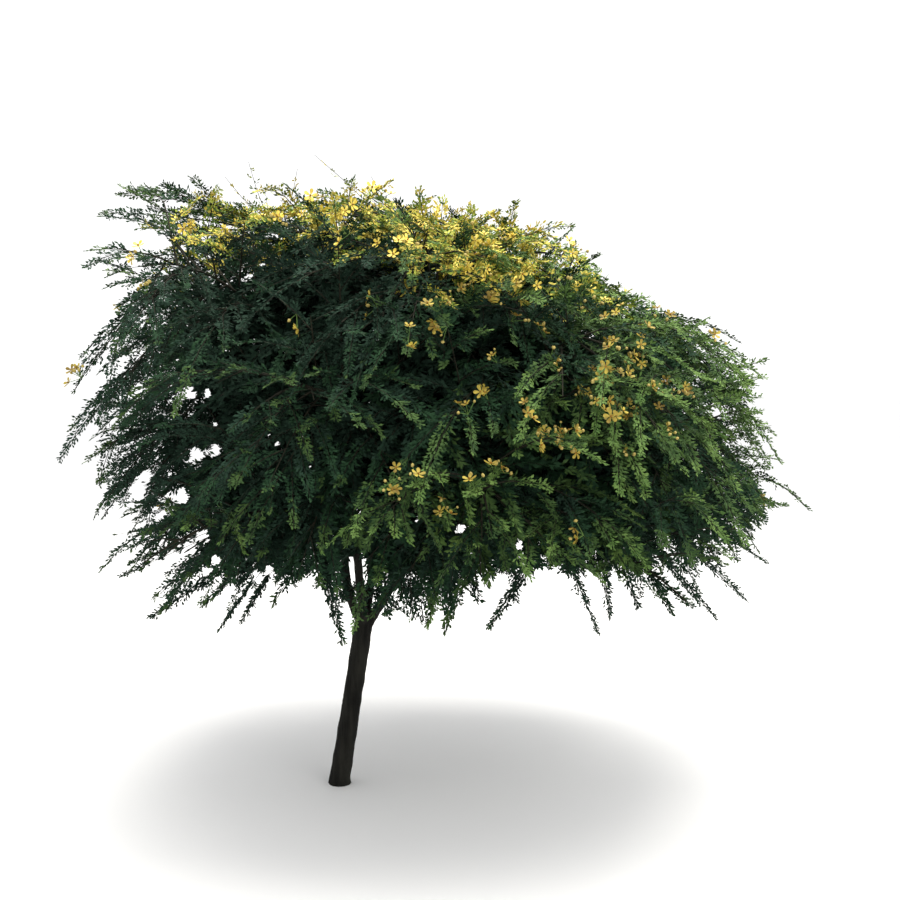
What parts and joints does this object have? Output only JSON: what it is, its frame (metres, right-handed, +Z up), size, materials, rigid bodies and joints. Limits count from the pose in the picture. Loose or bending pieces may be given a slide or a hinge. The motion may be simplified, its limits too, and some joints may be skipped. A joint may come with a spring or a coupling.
{
  "type": "desert cassia",
  "caption": "Small flowering garden tree with a slim leaning trunk and a broad umbrella crown of arching, feathery leaf sprays, rooted in the ground at its cut foot.",
  "frame": {"origin": "middle of the flat cut under the trunk, at ground level", "axes": "+Z up along the plumb line; +X to the right as seen from the front, the way the trunk leans and the crown is widest; -Y is the front"},
  "size_m": [2.1624, 1.9955, 1.8548],
  "materials": {
    "bark": "rough, dark brown bark",
    "foliage": "matt green leaves"
  },
  "bodies": {
    "root": {"trunk": "bark", "leader_1": "bark", "leader_2": "bark", "leader_3": "bark", "leader_4": "bark", "bough_01": "bark", "bough_02": "bark", "bough_03": "bark", "bough_04": "bark", "bough_05": "bark", "bough_06": "bark", "bough_07": "bark", "bough_08": "bark", "bough_09": "bark", "bough_10": "bark", "bough_11": "bark", "bough_12": "bark", "bough_13": "bark", "bough_14": "bark", "bough_15": "bark", "bough_16": "bark", "bough_17": "bark", "bough_18": "bark", "bough_19": "bark", "bough_20": "bark", "bough_21": "bark", "bough_22": "bark", "foliage_01": "foliage", "foliage_02": "foliage", "foliage_03": "foliage", "foliage_04": "foliage", "foliage_05": "foliage", "foliage_06": "foliage", "foliage_07": "foliage", "foliage_08": "foliage", "foliage_09": "foliage", "foliage_10": "foliage", "foliage_11": "foliage", "foliage_12": "foliage", "foliage_13": "foliage", "foliage_14": "foliage", "foliage_15": "foliage", "foliage_16": "foliage", "foliage_17": "foliage", "foliage_18": "foliage", "foliage_19": "foliage", "foliage_20": "foliage", "foliage_21": "foliage", "foliage_22": "foliage", "foliage_23": "foliage", "foliage_24": "foliage", "foliage_25": "foliage", "foliage_26": "foliage"}
  },
  "joints": []
}
